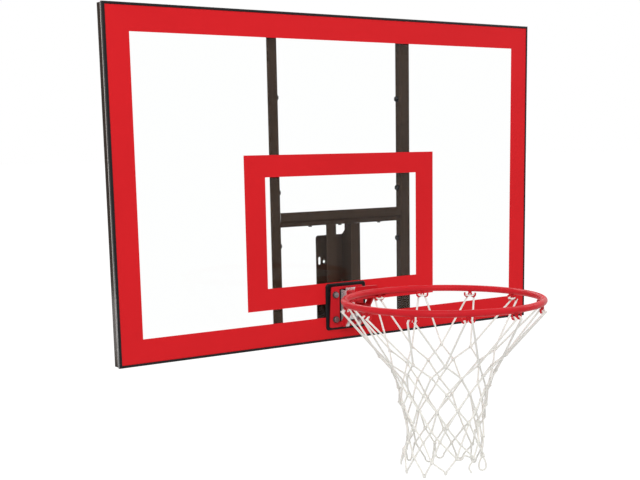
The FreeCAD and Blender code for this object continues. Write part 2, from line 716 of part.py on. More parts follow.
def make_hinge_pin():
    def at(x):
        return Vector(x, HINGE_Y, HINGE_HEIGHT)

    outer = ARM_OUTER_X + HINGE_END_PLAY
    clip_end = outer + HINGE_CLIP_THICKNESS
    shaft = rod(at(-clip_end - HINGE_TAIL), at(outer), HINGE_PIN_RADIUS)
    head = rod(at(outer), at(outer + HINGE_HEAD_LENGTH), HINGE_HEAD_RADIUS)
    groove = HINGE_PIN_RADIUS - HINGE_GROOVE_DEPTH
    neck = ring_of(at(-clip_end), at(-outer), HINGE_PIN_RADIUS, groove)
    save("hinge_pin", shaft.fuse(head).cut(neck).removeSplitter())

    mouth = HINGE_CLIP_MOUTH / 2
    clip = ring_of(at(-clip_end), at(-outer), HINGE_CLIP_RADIUS, groove)
    opening = block((-clip_end, -outer), (HINGE_Y - mouth, HINGE_Y + mouth),
                    (HINGE_HEIGHT - HINGE_CLIP_RADIUS, HINGE_HEIGHT))
    save("hinge_clip", clip.cut(opening))

    start = BRACKET_WIDTH / 2
    spacer = ring_of(at(start), at(start + HINGE_SPACER_LENGTH), HINGE_SPACER_RADIUS,
                     HINGE_PIN_RADIUS + HINGE_CLEARANCE)
    save("hinge_spacers", spacer, mirrored(spacer))


# Rim

def make_ring():
    centre = Vector(0, RING_Y, RING_HEIGHT)
    save("ring", Part.makeTorus(RING_RADIUS, RING_ROD_RADIUS, centre, Vector(0, 0, 1)))


def make_rim_bracket():
    half = RIM_BACK_WIDTH / 2
    bend = RIM_BEND_RADIUS
    steel = RIM_PLATE_STEEL
    rear = BRACKET_FRONT
    top = RIM_PLATE_TOP
    flat_start = rear - bend
    back = block((-half, half), (RIM_BACK_FRONT, rear), (RIM_BACK_BOTTOM, top - bend))
    curl_start = Vector(-half, flat_start, top - bend)
    curl_end = Vector(half, flat_start, top - bend)
    curl = ring_of(curl_start, curl_end, bend, bend - steel)
    curl = curl.common(block((-half, half), (flat_start, rear), (top - bend, top)))
    waist_y = PAD_FRONT - RIM_WAIST_REACH
    wing_y = PAD_FRONT - RIM_WING_REACH
    waist, wing = RIM_WAIST_WIDTH / 2, RIM_WING_WIDTH / 2
    tip_y = RING_Y + math.sqrt(RING_RADIUS ** 2 - wing ** 2) - RING_ROD_RADIUS
    outline = ((-half, flat_start), (half, flat_start), (waist, waist_y), (wing, wing_y),
               (wing, tip_y), (-wing, tip_y), (-wing, wing_y), (-waist, waist_y))
    plate = flat_prism(outline, (RIM_PLATE_UNDER, top))
    corners = edges_where(plate, lambda at: same(abs(at.x), wing) and same(at.y, wing_y))
    plate = plate.makeFillet(RIM_WING_CORNER, corners)
    centre_low = Vector(0, RING_Y, RIM_PLATE_UNDER)
    centre_high = Vector(0, RING_Y, top)
    plate = plate.cut(rod(centre_low, centre_high, RING_RADIUS - RIM_WING_OVERLAP))
    hook_half = HOOK_HORN_X + HOOK_HORN_RADIUS + HOOK_WIRE_RADIUS + HOOK_PLATE_GAP
    hook_y = RING_Y + RING_RADIUS + HOOK_WIRE_RADIUS + HOOK_PLATE_GAP
    notches = []
    for step in (-1, 0, 1):
        notch = block((-hook_half, hook_half), (RING_Y, hook_y), (RIM_PLATE_UNDER, top))
        notch.rotate(centre_low, Vector(0, 0, 1), HOOK_TURN + 360.0 * step / HOOK_COUNT)
        notches.append(notch)
    half_lip = RIM_LIP_WIDTH / 2
    lip_y = PAD_FRONT - RIM_LIP_REACH
    lip = block((-half_lip, half_lip), (lip_y - steel, lip_y), (RIM_PLATE_UNDER, top + RIM_LIP_RISE))
    lip = rounded(lip, Vector(0, 1, 0), RIM_LIP_CORNER)
    bracket = back.fuse([curl, plate.cut(notches), lip]).removeSplitter()
    low = SPRING_HEIGHT - RIM_SLOT_BELOW
    high = SPRING_HEIGHT + RIM_SLOT_ABOVE
    half_slot = RIM_SLOT_WIDTH / 2
    opening = block((-half_slot, half_slot), (RIM_BACK_FRONT, rear), (low, high))
    opening = rounded(opening, Vector(0, 1, 0), RIM_SLOT_CORNER)
    save("rim_bracket", bracket.cut(opening))


def make_pivot_arms():
    x = (ARM_INNER_X, ARM_OUTER_X)
    foot = Vector(0, HINGE_Y, HINGE_HEIGHT)
    head = Vector(0, PAD_FRONT - ARM_TOP_REACH, RIM_PLATE_UNDER)
    along = head - foot
    along.normalize()
    across = Vector(0, along.z, -along.y) * (ARM_WIDTH / 2)
    beyond = head + along * ARM_WIDTH
    corners = [foot + across, beyond + across, beyond - across, foot - across]
    bar = side_prism([(corner.y, corner.z) for corner in corners], x)
    room = block(x, (head.y - RIM_WAIST_REACH, 0.0), (0.0, RIM_PLATE_UNDER))
    start = Vector(x[0], HINGE_Y, HINGE_HEIGHT)
    end = Vector(x[1], HINGE_Y, HINGE_HEIGHT)
    arm = bar.common(room).fuse(rod(start, end, ARM_EAR_RADIUS)).removeSplitter()
    arm = arm.cut(rod(start, end, HINGE_PIN_RADIUS + HINGE_CLEARANCE))
    save("pivot_arm_right", arm)
    save("pivot_arm_left", mirrored(arm))


# Spring bolt, spring and its seat

def biarc(start, start_tangent, end, end_tangent):
    """Two arcs, tangent where they meet, from one point and direction to another."""
    chord = end - start
    both = start_tangent + end_tangent
    bend = 2 * (1 - start_tangent.dot(end_tangent))
    reach = (math.sqrt(chord.dot(both) ** 2 + bend * chord.dot(chord)) - chord.dot(both)) / bend
    middle = (start + end + (start_tangent - end_tangent) * reach) * 0.5
    return [arc_edge(start, start + start_tangent * reach, middle),
            arc_edge(middle, end - end_tangent * reach, end)]


def arc_edge(start, apex, end):
    """The arc from start to end whose end tangents meet at apex."""
    half = (start + end) * 0.5
    rise = (apex - half).Length
    run = (end - start).Length / 2
    angle = math.atan2(rise, run)
    crown = half + (apex - half) * (math.tan(angle / 2) / math.tan(angle))
    return Part.Arc(start, crown, end).toShape()


def make_spring():
    radius = SPRING_COIL_DIAMETER / 2
    blend = math.radians(SPRING_BLEND_ANGLE)
    straight = SPRING_WIRE
    coil_length = SPRING_LENGTH - 2 * (straight + SPRING_BLEND_LENGTH)
    pitch = coil_length / SPRING_TURNS
    forward = Vector(0, -1, 0)

    def on_coil(turn, travel):
        y = SPRING_BACK - travel
        return Vector(radius * math.sin(turn), y, SPRING_HEIGHT + radius * math.cos(turn))

    def helix_tangent(turn):
        slope = pitch / (2 * math.pi)
        tangent = Vector(radius * math.cos(turn), -slope, -radius * math.sin(turn))
        tangent.normalize()
        return tangent

    first_travel = straight + SPRING_BLEND_LENGTH
    last_turn = 2 * math.pi * SPRING_TURNS
    start, start_end = on_coil(-blend, 0.0), on_coil(-blend, straight)
    edges = [Part.LineSegment(start, start_end).toShape()]
    edges += biarc(start_end, forward, on_coil(0.0, first_travel), helix_tangent(0.0))
    quarters = round(SPRING_TURNS * 4)
    for index in range(quarters):
        here, there = last_turn * index / quarters, last_turn * (index + 1) / quarters
        here_travel = first_travel + coil_length * index / quarters
        there_travel = first_travel + coil_length * (index + 1) / quarters
        edges += biarc(on_coil(here, here_travel), helix_tangent(here),
                       on_coil(there, there_travel), helix_tangent(there))
    last_travel = first_travel + coil_length
    end_turn = last_turn + blend
    end_start = on_coil(end_turn, SPRING_LENGTH - straight)
    edges += biarc(on_coil(last_turn, last_travel), helix_tangent(last_turn), end_start, forward)
    edges.append(Part.LineSegment(end_start, on_coil(end_turn, SPRING_LENGTH)).toShape())
    path = Part.Wire(edges)
    profile = Part.Wire(Part.Circle(start, forward, SPRING_WIRE / 2).toShape())
    spring = path.makePipeShell([profile], True, False)
    section = math.pi * (SPRING_WIRE / 2) ** 2
    print("spring wire %.1f mm long, volume over section times length %.4f"
          % (path.Length, spring.Volume / (section * path.Length)))
    print("spring least gap to itself %.2f mm, wanted over %.1f" % (self_gap(path), LEAST_SELF_GAP))
    save("breakaway_spring", spring)


def self_gap(path):
    """Least gap between stretches of wire that are more than half a turn apart."""
    points = path.discretize(Distance=SELF_GAP_STEP)
    apart = int(math.pi * SPRING_COIL_DIAMETER / 2 / SELF_GAP_STEP)
    least = min(
        first.distanceToPoint(second)
        for index, first in enumerate(points)
        for second in points[index + apart:]
    )
    return least - SPRING_WIRE


def make_spring_bolt():
    def at(y):
        return Vector(0, y, SPRING_HEIGHT)

    seat = BRACKET_FRONT + BRACKET_STEEL
    washer_front = SPRING_FRONT - SPRING_WASHER_THICKNESS
    nut_front = washer_front - SPRING_NUT_HEIGHT
    tip = nut_front - SPRING_BOLT_TAIL
    fastener = (SPRING_BOLT_RADIUS, SPRING_BOLT_FLATS, SPRING_BOLT_HEAD)
    save("spring_bolt", bolt(at(seat), at(tip), fastener))
    hole = SPRING_BOLT_RADIUS + SPRING_BOLT_CLEARANCE
    save("spring_washer", ring_of(at(SPRING_FRONT), at(washer_front), SPRING_WASHER_RADIUS, hole))
    save("spring_nut", nut(at(washer_front), Vector(0, -1, 0), fastener, SPRING_NUT_HEIGHT))


# Hooks and net

def make_hooks():
    arch_z = -HOOK_ARCH_DROP
    horn_z = -HOOK_HORN_DROP
    inner = HOOK_ARCH_RADIUS
    middle = HOOK_HORN_X
    outer = HOOK_HORN_X + HOOK_HORN_RADIUS
    tip = horn_z + HOOK_TIP

    def at(across, up):
        return Vector(RING_RADIUS, across, up)

    edges = [
        Part.LineSegment(at(-outer, tip), at(-outer, horn_z)).toShape(),
        Part.Arc(at(-outer, horn_z), at(-middle, horn_z - HOOK_HORN_RADIUS), at(-inner, horn_z)).toShape(),
        Part.LineSegment(at(-inner, horn_z), at(-inner, arch_z)).toShape(),
        Part.Arc(at(-inner, arch_z), at(0, arch_z + HOOK_ARCH_RADIUS), at(inner, arch_z)).toShape(),
        Part.LineSegment(at(inner, arch_z), at(inner, horn_z)).toShape(),
        Part.Arc(at(inner, horn_z), at(middle, horn_z - HOOK_HORN_RADIUS), at(outer, horn_z)).toShape(),
        Part.LineSegment(at(outer, horn_z), at(outer, tip)).toShape(),
    ]
    profile = Part.Wire(Part.Circle(at(-outer, tip), Vector(0, 0, 1), HOOK_WIRE_RADIUS).toShape())
    hook = Part.Wire(edges).makePipeShell([profile], True, False)
    hooks = []
    for index in range(HOOK_COUNT):
        one = hook.copy()
        one.rotate(Vector(0, 0, 0), Vector(0, 0, 1), HOOK_TURN + 360.0 * index / HOOK_COUNT)
        one.translate(Vector(0, RING_Y, RING_HEIGHT))
        hooks.append(one)
    save("net_hooks", *hooks)


def net_rows():
    """Drop, radius and turn of every row of knots, the first one drawn up under the hooks' horns."""
    drop, radius, turn = NET_KNOT_ROWS[0]
    reach = radius * (math.sin(math.pi / HOOK_COUNT) + math.radians(abs(turn - HOOK_TURN)))
    across, rise = reach - HOOK_HORN_X, drop - HOOK_HORN_DROP
    clear = HOOK_HORN_RADIUS + HOOK_WIRE_RADIUS + NET_HOOK_GAP
    slope = math.atan2(rise, across) - math.asin(clear / math.hypot(across, rise))
    top_drop = drop - reach * math.tan(slope)
    return ((top_drop, RING_RADIUS + NET_STRAND_THICKNESS / 2, HOOK_TURN),) + NET_KNOT_ROWS


NET_ROWS = net_rows()


def net_knot(row, column, depth):
    """A knot's place: column counts half meshes round the ring, depth goes inwards."""
    drop, radius, turned = NET_ROWS[row]
    turn = math.pi * column / HOOK_COUNT + math.radians(turned)
    reach = radius - depth
    return Vector(reach * math.cos(turn), RING_Y + reach * math.sin(turn), RING_HEIGHT - drop)


def mesh_faces(row, column, depth):
    """Flat strand faces round one mesh, and the corners of its hole, at one depth."""
    top = net_knot(row, column, depth)
    left = net_knot(row + 1, column - 1, depth)
    right = net_knot(row + 1, column + 1, depth)
    bottom = net_knot(row + 2, column, depth)
    across = right - left
    middle = (left + right) * 0.5
    up, down = top - middle, bottom - middle

    def share(rise):
        side = (across * 0.5 - rise).Length
        width = NET_STRAND_WIDTH / 2
        return 1.0 - width * side / (across.Length / 2 * rise.Length)

    keep = min(share(up), share(down))
    half = across * (0.5 * keep)
    hole = [middle + up * keep, middle - half, middle + down * keep, middle + half]
    knots = [top, left, bottom, right]
    quads = []
    for index in range(4):
        after = (index + 1) % 4
        quads.append((knots[index], knots[after], hole[after], hole[index]))
    return quads, hole


def make_net():
    faces = []

    def add(points):
        faces.append(Part.Face(Part.makePolygon(list(points) + [points[0]])))

    def add_wall(outer_start, outer_end, inner_start, inner_end):
        add((outer_start, outer_end, inner_end))
        add((outer_start, inner_end, inner_start))

    depth = NET_STRAND_THICKNESS
    last = len(NET_ROWS) - 1
    for row in range(last - 1):
        for index in range(HOOK_COUNT):
            column = 2 * index + row % 2
            outside, outer_hole = mesh_faces(row, column, 0.0)
            inside, inner_hole = mesh_faces(row, column, depth)
            for quad in outside + inside:
                add(quad)
            for corner in range(4):
                after = (corner + 1) % 4
                add_wall(outer_hole[corner], outer_hole[after], inner_hole[corner], inner_hole[after])
    for row, step in ((0, 1), (last, -1)):
        for index in range(HOOK_COUNT):
            column = 2 * index + row % 2
            for side in (-1, 1):
                ends = (row, column), (row + step, column + side)
                outer = [net_knot(*end, 0.0) for end in ends]
                inner = [net_knot(*end, depth) for end in ends]
                add_wall(outer[0], outer[1], inner[0], inner[1])
    shell = Part.makeShell(faces)
    shell.sewShape()
    net = Part.Solid(Part.Shell(shell.Faces))
    if net.Volume < 0:
        net.reverse()
    closed = net.Shells[0].isClosed()
    print("net solid valid %s, closed %s, volume %.0f mm3" % (net.isValid(), closed, net.Volume))
    save("net", net)


def main():
    os.makedirs("parts", exist_ok=True)
    make_sheet()
    make_prints()
    make_perimeter()
    make_corner_plates()
    make_uprights()
    make_crossbar()
    make_straps()
    make_pole_plate()
    make_rim_mount()
    make_hinge_bracket()
    make_hinge_pin()
    make_ring()
    make_rim_bracket()
    make_pivot_arms()
    make_spring_bolt()
    make_spring()
    make_hooks()
    make_net()


main()
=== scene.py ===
"""Looks of the backboard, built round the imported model: materials, net, spring, welds, light, camera."""
import json
import math
import random

import bmesh
import bpy
from mathutils import Matrix, Quaternion, Vector


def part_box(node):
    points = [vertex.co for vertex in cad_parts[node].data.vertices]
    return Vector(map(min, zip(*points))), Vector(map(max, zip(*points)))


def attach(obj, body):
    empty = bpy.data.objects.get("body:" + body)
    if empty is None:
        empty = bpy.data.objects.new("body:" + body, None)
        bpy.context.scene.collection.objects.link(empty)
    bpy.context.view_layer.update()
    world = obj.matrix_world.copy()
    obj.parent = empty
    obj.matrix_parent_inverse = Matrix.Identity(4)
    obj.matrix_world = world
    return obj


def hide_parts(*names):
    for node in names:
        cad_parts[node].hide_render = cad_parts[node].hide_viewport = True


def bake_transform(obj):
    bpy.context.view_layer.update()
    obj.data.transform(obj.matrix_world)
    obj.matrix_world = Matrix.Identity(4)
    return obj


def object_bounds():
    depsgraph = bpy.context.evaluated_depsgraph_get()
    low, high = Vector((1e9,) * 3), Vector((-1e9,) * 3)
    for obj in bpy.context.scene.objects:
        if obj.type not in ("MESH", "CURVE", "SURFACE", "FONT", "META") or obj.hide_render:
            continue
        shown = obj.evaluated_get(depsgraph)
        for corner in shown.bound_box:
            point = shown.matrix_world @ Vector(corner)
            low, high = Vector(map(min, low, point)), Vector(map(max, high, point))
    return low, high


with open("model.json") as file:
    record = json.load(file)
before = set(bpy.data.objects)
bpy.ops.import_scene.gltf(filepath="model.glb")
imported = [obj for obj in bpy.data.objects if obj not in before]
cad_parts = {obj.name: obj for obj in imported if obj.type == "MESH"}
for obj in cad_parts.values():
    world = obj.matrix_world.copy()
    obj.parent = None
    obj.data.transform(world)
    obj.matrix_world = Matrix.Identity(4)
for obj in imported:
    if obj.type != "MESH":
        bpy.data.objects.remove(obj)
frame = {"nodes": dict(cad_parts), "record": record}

cad_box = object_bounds()

UP = Vector((0, 0, 1))
FULL_TURN = 2 * math.pi

# Camera: its place, the point it looks at, a small roll, and its lens, sensor and shift
CAMERA_PLACE = Vector((-1.8069, -2.5434, 0.3470))
CAMERA_AIM = Vector((-0.0523, -0.0525, -0.2030))
CAMERA_ROLL = math.radians(-0.981)
CAMERA_LENS = 65.45
CAMERA_SENSOR = 36.0
CAMERA_SHIFT = (-0.0168, 0.1817)

# Lamps: place, the point each shines at, size and power
LAMPS = {
    "key": ((-3.08, -4.12, 3.56), (0, -0.2, 0.2), (3.4, 3.4), 194),
    "fill": ((3.3, -1.1, 2.4), (0, -0.2, 0.2), (2.4, 2.4), 44),
    "back": ((0.5, 3.0, 2.2), (0, 0, 0.3), (2.4, 1.6), 55),
    "side": ((-1.5, 1.6, -0.33), (-0.66, 0, -0.05), (0.8, 0.25), 3.5),
}
WORLD_STRENGTH = 0.50

# Floor: to the camera alone it glows a little, and more with the distance, so that it looks white
FLOOR_DROP = 1.60
FLOOR_SIZE = 400.0
FLOOR_COLOUR = (0.86, 0.86, 0.86, 1)
FLOOR_ROUGHNESS = 0.9
FLOOR_GLOW = (0.42, 0.64)
FLOOR_GLOW_REACH = (2.0, 4.5)

# Colours, linear
RED_INK = (0.672, 0.0152, 0.0203, 1)
RIM_RED = (0.595, 0.016, 0.024, 1)
FRAME_BROWN = (0.033, 0.0208, 0.0142, 1)
TRIM_DARK = (0.011, 0.0095, 0.010, 1)
# Pale colour of the bead that is a painted highlight along the trim's rear edge
HIGHLIGHT_BEAD_PALE = (0.80, 0.73, 0.69, 1)
BLACK = (0.006, 0.006, 0.007, 1)
ZINC = (0.72, 0.73, 0.75, 1)
CORD_WHITE = (0.96, 0.945, 0.885, 1)
NYLON = (0.70, 0.69, 0.65, 1)
SHEET_CLEAR = (0.99, 0.997, 0.994, 1)
SHEET_SHADOW = (0.96, 0.97, 0.97, 1)
SHEET_GLARE = (0.08, 0.08, 0.085, 1)
WHITE = (1, 1, 1, 1)

# Finishes, with the share of lighter edges where it is even: partly wear, partly a painted highlight
RIM_COAT = {"rough": 0.33, "gloss": 0.08, "edge": 1.15}
INK_GLOSS = 0.06
SHEET_IOR = 1.49
PLASTIC_WEAR_AND_HIGHLIGHT = 0.4
ZINC_WEAR_AND_HIGHLIGHT = 0.6
ZINC_WARM = (0.95, 0.94, 0.88)
ZINC_COOL = (1.0, 1.02, 1.05)
# Nodes whose zinc is painted darker than the rest: painted shade on the rim bolts, washers and nuts
SHADED_ZINC_TINTS = {"rim_bolts": 0.40, "rim_washers": 0.14, "rim_nuts": 0.40}
# Cord, with the painted shade on the net's inward-facing side and the strands of its braid
CORD_ROUGHNESS = 0.8
CORD_SHEEN = 0.6
CORD_INNER_SHADE = 0.90
BRAID_STRANDS = 4.0
BRAID_PITCH = 0.0034
BRAID_DEPTH = 0.0004
# Eased edges: samples of the rounding, and the cosines between which a surface counts as an edge
EDGE_SAMPLES = 4
EDGE_COSINES = (0.90, 0.995)

# Sockets of a Mix node for colours
MIX_SHARE = 0
MIX_FIRST = 6
MIX_SECOND = 7
MIX_RESULT = 2

# Ring facts from the frame
ring_low, ring_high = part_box("ring")
RING_CENTRE = (ring_low + ring_high) / 2
ROD_RADIUS = (ring_high.z - ring_low.z) / 2
RING_RADIUS = (ring_high.x - ring_low.x) / 2 - ROD_RADIUS

# Net: rows of knots as drop below the ring's plane, radius and turn in degrees
HOOK_COUNT = 12
HOOK_STEP = FULL_TURN / HOOK_COUNT
FIRST_HOOK_TURN = math.radians(2.5)
CORD_RADIUS = 0.0024
CORD_SIDES = 8
CORD_STEPS = 4
NET_ROWS = (
    (0.134, 0.150, 6.0), (0.166, 0.125, 7.0), (0.210, 0.107, 8.3), (0.251, 0.100, 10.7),
    (0.292, 0.094, 13.7), (0.334, 0.091, 17.2), (0.371, 0.097, 20.0), (0.407, 0.104, 22.0),
)
NET_SEED = 11

# Knots: how far they stray, more so lower down
KNOT_SEED = NET_SEED + 1
KNOT_JITTER = 0.0026
KNOT_JITTER_AT_TOP = 0.6
# Cords are kinked this far from a knot, unless the span is shorter than so many kinks
KNOT_KINK = 0.006
KINK_ROOM = 3
# Each of two crossing cords stands in or out by this share of its radius
CROSSING_SHARE = 0.9
# The turn of cord round a crossing: its half sizes, its tilt, and its share of the cord's radius
KNOT_OUT = 0.0043
KNOT_ACROSS = 0.0030
KNOT_ALONG = 0.0012
KNOT_TILT = 0.5
KNOT_STEPS = 16
KNOT_CORD_SHARE = 0.85

# Bottom tips by their place round the net: some pointed, the rest round, as half width and rise
TIP_POINTED = (0.0026, 0.0070)
TIP_ROUND = (0.0105, 0.0120)
TIP_POINTED_PLACES = (4, 5, 6, 7)
TIP_STEPS = 12
TIP_CORD_SHARE = 1.02
# Tips that hang unevenly: how far along FRONT_ASIDE and how far down
TIP_SHIFTS = {
    0: (-0.005, 0.007), 1: (-0.003, 0.009), 2: (0.015, 0.019), 6: (0.003, 0.008), 7: (0.005, -0.005),
    8: (-0.010, -0.031), 11: (-0.019, 0.013),
}
FRONT_ASIDE = Vector((0.75, -0.66, 0.0))
# Where two tips came undone: one cord hangs loose and three end in a teardrop loop
UNDONE_PLACES = (9, 10)
TAIL_ROUTE = ((-0.005, 0.009), (-0.0105, 0.018), (-0.0113, 0.027), (-0.0058, 0.036))
LOOP_DROP = 0.005
LOOP_WIDTH = 0.0113
LOOP_LENGTH = 0.0355

# Cord over a hook: how far in or out of the ring's circle, its drop, and its share of the horn's offset
HORN_OFFSET = 0.0085
HOOK_ROUTE = (
    (0.0052, 0.0235, 1.05), (0.0040, 0.0178, 1.0), (0.0, 0.0168, 1.0), (-0.0046, 0.0178, 0.9),
    (-0.0056, 0.0182, 0.0),
)

# Spring, with its facts from the frame
spring_low, spring_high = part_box("breakaway_spring")
SPRING_Z = (spring_low.z + spring_high.z) / 2
SPRING_WIRE_RADIUS = 0.003
SPRING_TURNS = 6.0
SPRING_DEAD_TURNS = 1.0
SPRING_STEPS = 28
SPRING_SIDES = 12

# Bolt threads, whose first ridge starts at this share of a pitch from the tip
THREAD_START = 0.4
THREAD_TAIL = 0.004
THREAD_PITCH = 0.00125
THREAD_RIDGE = 0.00042
THREAD_STEPS = 18
THREAD_SIDES = 5
BOLT_RADIUS = 0.004
STRAP_BOLT_RADIUS = 0.003
SPRING_BOLT_RADIUS = 0.005

# Pale bead between the trim and the frame: a painted highlight along the trim's rear edge
HIGHLIGHT_BEAD_RADIUS = 0.0022
HIGHLIGHT_BEAD_PROUD = 0.0014
HIGHLIGHT_BEAD_SIDES = 8

# Welds: beads that swell by a share at every ripple, and whose ends taper to the root of WELD_END
RIM_PLATE_STEEL = 0.005
WELD_RADIUS = 0.0026
WELD_SIDES = 8
WELD_STEPS = 24
WELD_RIPPLE = 0.0032
WELD_SWELL = 0.14
WELD_END = 0.05
ARM_WELD_LENGTH = 0.0205
RING_WELD_SPAN = math.radians(21.5)
RING_WELD_OUT = 0.0062
RING_WELD_STEPS = 120
LIP_FRONT = -0.1475
LIP_WELD_HALF = 0.034
LIP_WELD_SHARE = 0.9
LIP_WELD_STEPS = 60
HOOK_WELD_RADIUS = 0.0019
HOOK_WELD_HALF = 0.0048
HOOK_WELD_APART = 1.5
HOOK_WELD_RISE = 0.0006
HOOK_WELD_STEPS = 14
# How far a bead's middle stands out of its corner, in its own radii
RING_WELD_PROUD = 0.5
LIP_WELD_PROUD = 0.3
ARM_WELD_PROUD = 0.4
HOOK_WELD_PROUD = 0.4

# Vertices that agree to this many digits are one
MERGE_DIGITS = 6


# Node helpers

def new_material(name):
    """A material with a Principled shader: the material, its tree and the shader."""
    material = bpy.data.materials.new(name)
    material.use_nodes = True
    tree = material.node_tree
    return material, tree, tree.nodes["Principled BSDF"]


def add(tree, kind, settings=None, **inputs):
    """A node with its settings, and its inputs linked to sockets or set to values."""
    made = tree.nodes.new(kind)
    for key, value in (settings or {}).items():
        setattr(made, key, value)
    for key, value in inputs.items():
        put(tree, made, key.replace("_", " "), value)
    return made


def put(tree, node, key, value):
    """Links a node's input to a socket, or sets it to a value."""
    if isinstance(value, bpy.types.NodeSocket):
        tree.links.new(value, node.inputs[key])
    else:
        node.inputs[key].default_value = value


def place(tree):
    """Coordinates in metres in the part's frame."""
    return add(tree, "ShaderNodeTexCoord").outputs["Object"]


def surface_normal(tree):
    """The surface's own normal, before any bump."""
    return add(tree, "ShaderNodeNewGeometry").outputs["Normal"]


def noise(tree, scale, detail=3.0, rough=0.5):
    """A noise over the part, mostly between 0.3 and 0.7."""
    made = add(tree, "ShaderNodeTexNoise", Scale=scale, Detail=detail, Roughness=rough)
    put(tree, made, "Vector", place(tree))
    return made.outputs["Fac"]


def spread(tree, value, low=0.0, high=1.0, start=0.3, end=0.7):
    """A value between start and end stretched to run from low to high."""
    made = add(tree, "ShaderNodeMapRange", Value=value)
    for key, number in (("From Min", start), ("From Max", end), ("To Min", low), ("To Max", high)):
        made.inputs[key].default_value = number
    return made.outputs["Result"]


def mix(tree, share, first, second):
    """Two colours mixed by a share."""
    made = add(tree, "ShaderNodeMix", {"data_type": "RGBA"})
    put(tree, made, MIX_SHARE, share)
    put(tree, made, MIX_FIRST, first)
    put(tree, made, MIX_SECOND, second)
    return made.outputs[MIX_RESULT]


def combine(tree, operation, first, second=None):
    """What a Math node makes of one or two values."""
    made = add(tree, "ShaderNodeMath", {"operation": operation})
    put(tree, made, 0, first)
    if second is not None:
        put(tree, made, 1, second)
    return made.outputs[0]


def vector_math(tree, operation, first, second=None):
    """The outputs of a Vector Math node on one or two vectors."""
    made = add(tree, "ShaderNodeVectorMath", {"operation": operation})
    put(tree, made, 0, first)
    if second is not None:
        put(tree, made, 1, second)
    return made.outputs


def bump(tree, height, depth, normal=None):
    """A bump whose height of 1 stands depth metres proud."""
    made = add(tree, "ShaderNodeBump", Strength=1.0, Distance=depth, Height=height)
    if normal is not None:
        put(tree, made, "Normal", normal)
    return made.outputs["Normal"]


def eased_edges(tree, radius):
    """A normal that rounds sharp edges, and a mask that is 1 on them."""
    soft = add(tree, "ShaderNodeBevel", {"samples": EDGE_SAMPLES}, Radius=radius).outputs["Normal"]
    along = vector_math(tree, "DOT_PRODUCT", soft, surface_normal(tree))["Value"]
    return soft, spread(tree, along, 1.0, 0.0, *EDGE_COSINES)


def tint(colour, factor):
    """A colour made darker or lighter."""
    return tuple(min(1.0, part * factor) for part in colour[:3]) + (1,)


def shift(colour, factors):
    """A colour with its red, green and blue scaled apart."""
    return tuple(part * factor for part, factor in zip(colour, factors)) + (1,)


def clouded(tree, pattern, colour, dark, light):
    """A colour that goes from a darker to a lighter tint with a pattern."""
    return mix(tree, spread(tree, pattern), tint(colour, dark), tint(colour, light))


def split_by_rays(tree, names, plain, seen, output):
    """One shader for plain rays and another for the kinds of rays named."""
    rays = add(tree, "ShaderNodeLightPath")
    share = rays.outputs[names[0]]
    for name in names[1:]:
        share = combine(tree, "MAXIMUM", share, rays.outputs[name])
    either = add(tree, "ShaderNodeMixShader")
    put(tree, either, 0, share)
    put(tree, either, 1, plain)
    put(tree, either, 2, seen)
    put(tree, tree.nodes[output], "Surface", either.outputs["Shader"])


# Materials

def powder_coat(name, colour, rough, gloss=0.3, edge=1.5):
    """Baked powder paint: orange peel, faint clouding, specks, and lighter edges: wear and a painted
    highlight.
    """
    material, tree, shader = new_material(name)
    soft, wear_and_highlight_mask = eased_edges(tree, radius=0.0009)
    shade = clouded(tree, noise(tree, scale=9.0, detail=4.0), colour, dark=0.90, light=1.10)
    grains = noise(tree, scale=1100.0, detail=2.0)
    specks = spread(tree, grains, low=0.0, high=0.25, start=0.64, end=0.78)
    shade = mix(tree, specks, shade, tint(colour, factor=1.6))
    patches = spread(tree, noise(tree, scale=120.0, detail=4.0), low=0.1, high=0.8)
    # Painted highlight with some wear: edges lighter by the factor edge.
    wear_and_highlight_share = combine(tree, "MULTIPLY", wear_and_highlight_mask, patches)
    put(tree, shader, "Base Color", mix(tree, wear_and_highlight_share, shade, tint(colour, edge)))
    smudge = noise(tree, scale=30.0, detail=5.0, rough=0.6)
    put(tree, shader, "Roughness", spread(tree, smudge, low=rough - 0.07, high=rough + 0.09))
    peel = noise(tree, scale=420.0, detail=2.0)
    put(tree, shader, "Normal", bump(tree, peel, depth=0.00005, normal=soft))
    shader.inputs["Specular IOR Level"].default_value = gloss
    return material


def printed_ink(name, colour):
    """Screen-printed ink: faint density changes and a slow waviness."""
    material, tree, shader = new_material(name)
    density = noise(tree, scale=5.0, detail=5.0, rough=0.55)
    put(tree, shader, "Base Color", clouded(tree, density, colour, dark=0.965, light=1.03))
    smudge = noise(tree, scale=40.0, detail=4.0)
    put(tree, shader, "Roughness", spread(tree, smudge, low=0.38, high=0.50))
    put(tree, shader, "Normal", bump(tree, noise(tree, scale=18.0, detail=2.0), depth=0.00008))
    shader.inputs["Specular IOR Level"].default_value = INK_GLOSS
    return material


def clear_sheet(name):
    """Clear polycarbonate with faint scuffs; lamps shine through it."""
    material, tree, shader = new_material(name)
    shader.inputs["Base Color"].default_value = SHEET_CLEAR
    shader.inputs["Transmission Weight"].default_value = 1.0
    shader.inputs["IOR"].default_value = SHEET_IOR
    shader.inputs["Specular Tint"].default_value = SHEET_GLARE
    scuffs = noise(tree, scale=14.0, detail=6.0, rough=0.7)
    put(tree, shader, "Roughness", spread(tree, scuffs, low=0.0, high=0.02, start=0.50, end=0.85))
    through = add(tree, "ShaderNodeBsdfTransparent", Color=SHEET_SHADOW)
    clear = shader.outputs["BSDF"]
    split_by_rays(tree, ("Is Shadow Ray",), clear, through.outputs["BSDF"], "Material Output")
    return material


